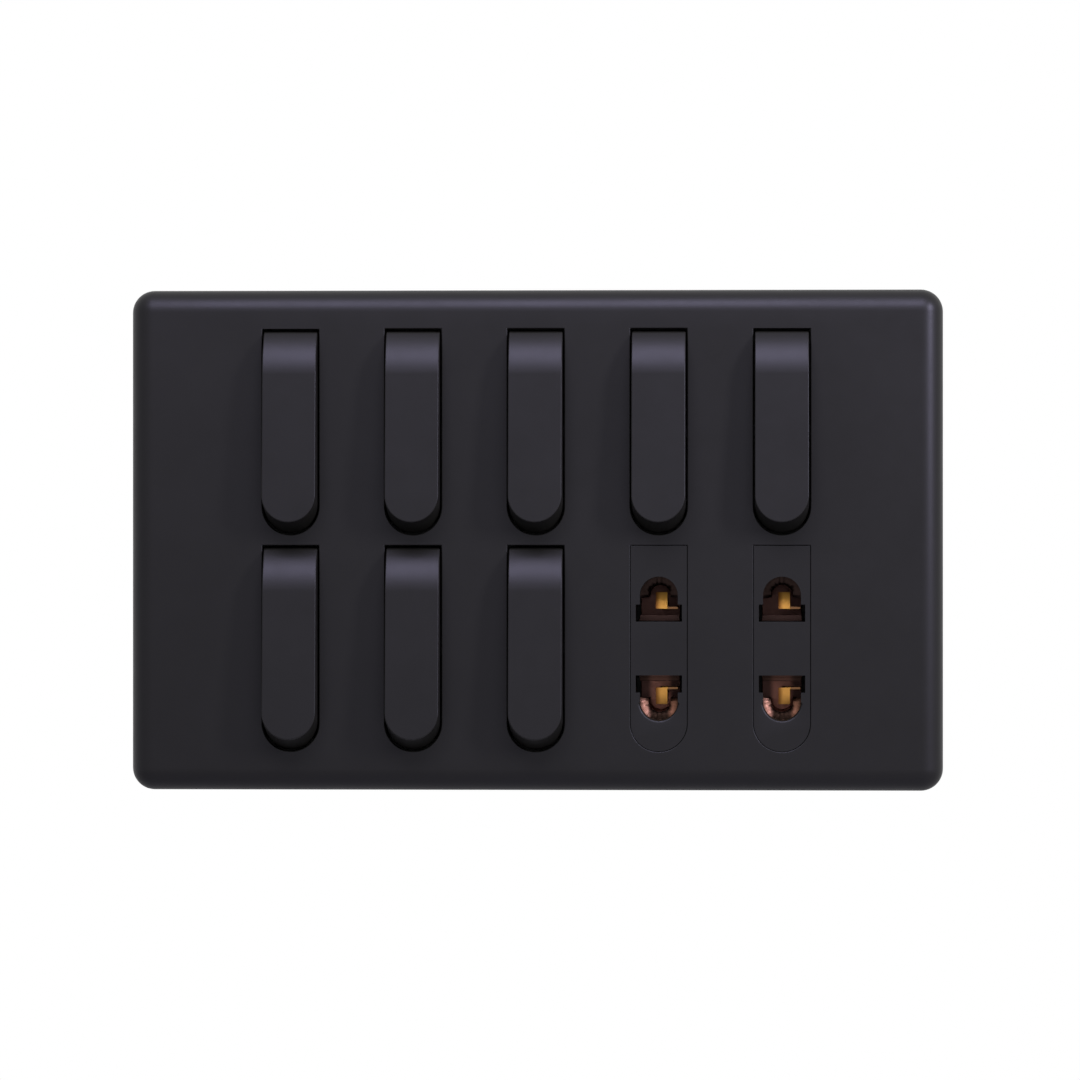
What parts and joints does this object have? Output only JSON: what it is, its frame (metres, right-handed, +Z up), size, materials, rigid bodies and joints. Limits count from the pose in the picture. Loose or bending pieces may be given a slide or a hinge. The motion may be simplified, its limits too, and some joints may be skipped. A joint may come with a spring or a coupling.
{
  "type": "switch and socket plate",
  "caption": "Black wall plate with rows of narrow rocker keys and two-pin sockets in a clip-on cover over a mounting frame.",
  "frame": {"origin": "middle of the plate on the wall plane, half way between the two fixing holes", "axes": "+X to the right seen from the front, +Y into the wall, +Z up"},
  "size_m": [0.146, 0.0309, 0.09],
  "materials": {
    "black_plastic": "satin, fine grain",
    "frame_plastic": "moulded",
    "base_plastic": "moulded",
    "plunger_plastic": "natural nylon",
    "brass": "rolled strip",
    "steel": "zinc plated"
  },
  "bodies": {
    "plate": {"front_plate": "black_plastic", "mounting_frame": "frame_plastic", "switch_base_1": "base_plastic", "switch_base_2": "base_plastic", "switch_base_3": "base_plastic", "switch_base_4": "base_plastic", "switch_base_5": "base_plastic", "switch_base_6": "base_plastic", "switch_base_7": "base_plastic", "switch_base_8": "base_plastic", "feed_terminals": "brass", "load_terminals": "brass", "terminal_screws": "steel", "socket_face_1": "black_plastic", "socket_base_1": "base_plastic", "socket_contact_upper_1": "brass", "socket_contact_lower_1": "brass", "socket_face_2": "black_plastic", "socket_base_2": "base_plastic", "socket_contact_upper_2": "brass", "socket_contact_lower_2": "brass"},
    "key_1": {"key_1": "black_plastic", "spring_1": "steel"},
    "plunger_1": {"plunger_1": "plunger_plastic"},
    "contact_blade_1": {"contact_blade_1": "brass"},
    "key_2": {"key_2": "black_plastic", "spring_2": "steel"},
    "plunger_2": {"plunger_2": "plunger_plastic"},
    "contact_blade_2": {"contact_blade_2": "brass"},
    "key_3": {"key_3": "black_plastic", "spring_3": "steel"},
    "plunger_3": {"plunger_3": "plunger_plastic"},
    "contact_blade_3": {"contact_blade_3": "brass"},
    "key_4": {"key_4": "black_plastic", "spring_4": "steel"},
    "plunger_4": {"plunger_4": "plunger_plastic"},
    "contact_blade_4": {"contact_blade_4": "brass"},
    "key_5": {"key_5": "black_plastic", "spring_5": "steel"},
    "plunger_5": {"plunger_5": "plunger_plastic"},
    "contact_blade_5": {"contact_blade_5": "brass"},
    "key_6": {"key_6": "black_plastic", "spring_6": "steel"},
    "plunger_6": {"plunger_6": "plunger_plastic"},
    "contact_blade_6": {"contact_blade_6": "brass"},
    "key_7": {"key_7": "black_plastic", "spring_7": "steel"},
    "plunger_7": {"plunger_7": "plunger_plastic"},
    "contact_blade_7": {"contact_blade_7": "brass"},
    "key_8": {"key_8": "black_plastic", "spring_8": "steel"},
    "plunger_8": {"plunger_8": "plunger_plastic"},
    "contact_blade_8": {"contact_blade_8": "brass"}
  },
  "joints": [
    {"name": "key_1_rock", "type": "hinge", "parent": "plate", "child": "key_1", "pos_m": [-0.04412, -0.0051, 0.01945], "axis": [1, 0, 0], "range_deg": [0, 12]},
    {"name": "plunger_1_slide", "type": "slide", "parent": "key_1", "child": "plunger_1", "axis": [0, -0.9945, 0.1045], "range_m": [0, 0.0006], "stiffness_N_per_m": 200, "deforming": ["spring_1"]},
    {"name": "contact_blade_1_tip", "type": "hinge", "parent": "plate", "child": "contact_blade_1", "pos_m": [-0.04412, 0.0048, 0.01945], "axis": [1, 0, 0], "range_deg": [-20, 0]},
    {"name": "key_2_rock", "type": "hinge", "parent": "plate", "child": "key_2", "pos_m": [-0.02206, -0.0051, 0.01945], "axis": [1, 0, 0], "range_deg": [0, 12]},
    {"name": "plunger_2_slide", "type": "slide", "parent": "key_2", "child": "plunger_2", "axis": [0, -0.9945, 0.1045], "range_m": [0, 0.0006], "stiffness_N_per_m": 200, "deforming": ["spring_2"]},
    {"name": "contact_blade_2_tip", "type": "hinge", "parent": "plate", "child": "contact_blade_2", "pos_m": [-0.02206, 0.0048, 0.01945], "axis": [1, 0, 0], "range_deg": [-20, 0]},
    {"name": "key_3_rock", "type": "hinge", "parent": "plate", "child": "key_3", "pos_m": [0, -0.0051, 0.01945], "axis": [1, 0, 0], "range_deg": [0, 12]},
    {"name": "plunger_3_slide", "type": "slide", "parent": "key_3", "child": "plunger_3", "axis": [0, -0.9945, 0.1045], "range_m": [0, 0.0006], "stiffness_N_per_m": 200, "deforming": ["spring_3"]},
    {"name": "contact_blade_3_tip", "type": "hinge", "parent": "plate", "child": "contact_blade_3", "pos_m": [0, 0.0048, 0.01945], "axis": [1, 0, 0], "range_deg": [-20, 0]},
    {"name": "key_4_rock", "type": "hinge", "parent": "plate", "child": "key_4", "pos_m": [0.02206, -0.0051, 0.01945], "axis": [1, 0, 0], "range_deg": [0, 12]},
    {"name": "plunger_4_slide", "type": "slide", "parent": "key_4", "child": "plunger_4", "axis": [0, -0.9945, 0.1045], "range_m": [0, 0.0006], "stiffness_N_per_m": 200, "deforming": ["spring_4"]},
    {"name": "contact_blade_4_tip", "type": "hinge", "parent": "plate", "child": "contact_blade_4", "pos_m": [0.02206, 0.0048, 0.01945], "axis": [1, 0, 0], "range_deg": [-20, 0]},
    {"name": "key_5_rock", "type": "hinge", "parent": "plate", "child": "key_5", "pos_m": [0.04412, -0.0051, 0.01945], "axis": [1, 0, 0], "range_deg": [0, 12]},
    {"name": "plunger_5_slide", "type": "slide", "parent": "key_5", "child": "plunger_5", "axis": [0, -0.9945, 0.1045], "range_m": [0, 0.0006], "stiffness_N_per_m": 200, "deforming": ["spring_5"]},
    {"name": "contact_blade_5_tip", "type": "hinge", "parent": "plate", "child": "contact_blade_5", "pos_m": [0.04412, 0.0048, 0.01945], "axis": [1, 0, 0], "range_deg": [-20, 0]},
    {"name": "key_6_rock", "type": "hinge", "parent": "plate", "child": "key_6", "pos_m": [-0.04412, -0.0051, -0.01945], "axis": [1, 0, 0], "range_deg": [0, 12]},
    {"name": "plunger_6_slide", "type": "slide", "parent": "key_6", "child": "plunger_6", "axis": [0, -0.9945, 0.1045], "range_m": [0, 0.0006], "stiffness_N_per_m": 200, "deforming": ["spring_6"]},
    {"name": "contact_blade_6_tip", "type": "hinge", "parent": "plate", "child": "contact_blade_6", "pos_m": [-0.04412, 0.0048, -0.01945], "axis": [1, 0, 0], "range_deg": [-20, 0]},
    {"name": "key_7_rock", "type": "hinge", "parent": "plate", "child": "key_7", "pos_m": [-0.02206, -0.0051, -0.01945], "axis": [1, 0, 0], "range_deg": [0, 12]},
    {"name": "plunger_7_slide", "type": "slide", "parent": "key_7", "child": "plunger_7", "axis": [0, -0.9945, 0.1045], "range_m": [0, 0.0006], "stiffness_N_per_m": 200, "deforming": ["spring_7"]},
    {"name": "contact_blade_7_tip", "type": "hinge", "parent": "plate", "child": "contact_blade_7", "pos_m": [-0.02206, 0.0048, -0.01945], "axis": [1, 0, 0], "range_deg": [-20, 0]},
    {"name": "key_8_rock", "type": "hinge", "parent": "plate", "child": "key_8", "pos_m": [0, -0.0051, -0.01945], "axis": [1, 0, 0], "range_deg": [0, 12]},
    {"name": "plunger_8_slide", "type": "slide", "parent": "key_8", "child": "plunger_8", "axis": [0, -0.9945, 0.1045], "range_m": [0, 0.0006], "stiffness_N_per_m": 200, "deforming": ["spring_8"]},
    {"name": "contact_blade_8_tip", "type": "hinge", "parent": "plate", "child": "contact_blade_8", "pos_m": [0, 0.0048, -0.01945], "axis": [1, 0, 0], "range_deg": [-20, 0]}
  ],
  "couplings": [
    {"joint": "contact_blade_1_tip", "follows": "key_1_rock", "ratio": -1.6667},
    {"joint": "contact_blade_2_tip", "follows": "key_2_rock", "ratio": -1.6667},
    {"joint": "contact_blade_3_tip", "follows": "key_3_rock", "ratio": -1.6667},
    {"joint": "contact_blade_4_tip", "follows": "key_4_rock", "ratio": -1.6667},
    {"joint": "contact_blade_5_tip", "follows": "key_5_rock", "ratio": -1.6667},
    {"joint": "contact_blade_6_tip", "follows": "key_6_rock", "ratio": -1.6667},
    {"joint": "contact_blade_7_tip", "follows": "key_7_rock", "ratio": -1.6667},
    {"joint": "contact_blade_8_tip", "follows": "key_8_rock", "ratio": -1.6667}
  ]
}
